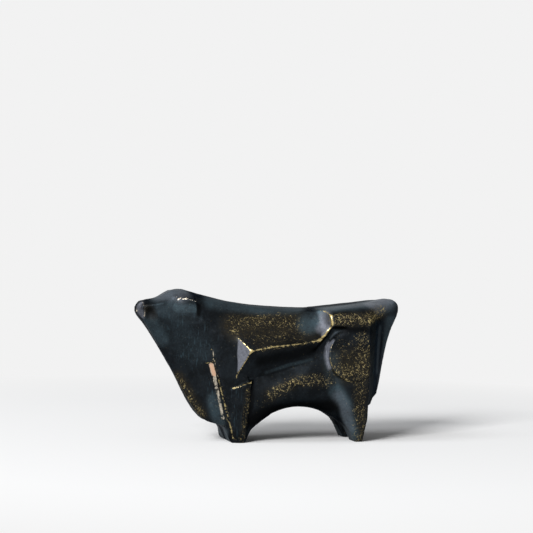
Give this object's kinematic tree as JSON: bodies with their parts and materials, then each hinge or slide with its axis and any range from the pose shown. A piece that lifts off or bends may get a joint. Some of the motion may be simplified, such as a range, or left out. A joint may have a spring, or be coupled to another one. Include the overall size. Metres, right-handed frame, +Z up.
{
  "type": "ox figurine",
  "caption": "Small abstract cast bronze ox with a bow-shaped chest, gouged flanks and a round raised haunch, standing on four short legs.",
  "frame": {"origin": "centre of the bounding box in plan, on the ground under the feet", "axes": "+X runs from the muzzle to the tail, +Z is up, and the pictured flank faces -Y"},
  "size_m": [0.1781, 0.06, 0.1],
  "materials": {
    "bronze": "dark blue-black patina, worn to gold on the edges and the cast grain",
    "clay": "fired clay, rough",
    "iron": "forged, dull"
  },
  "bodies": {
    "root": {"bronze_shell": "bronze", "clay_core": "clay", "core_nail_neck_near": "iron", "core_nail_neck_far": "iron", "core_nail_shoulder_near": "iron", "core_nail_shoulder_far": "iron", "core_nail_belly_near": "iron", "core_nail_belly_far": "iron", "core_nail_haunch_near": "iron", "core_nail_haunch_far": "iron"}
  },
  "joints": []
}
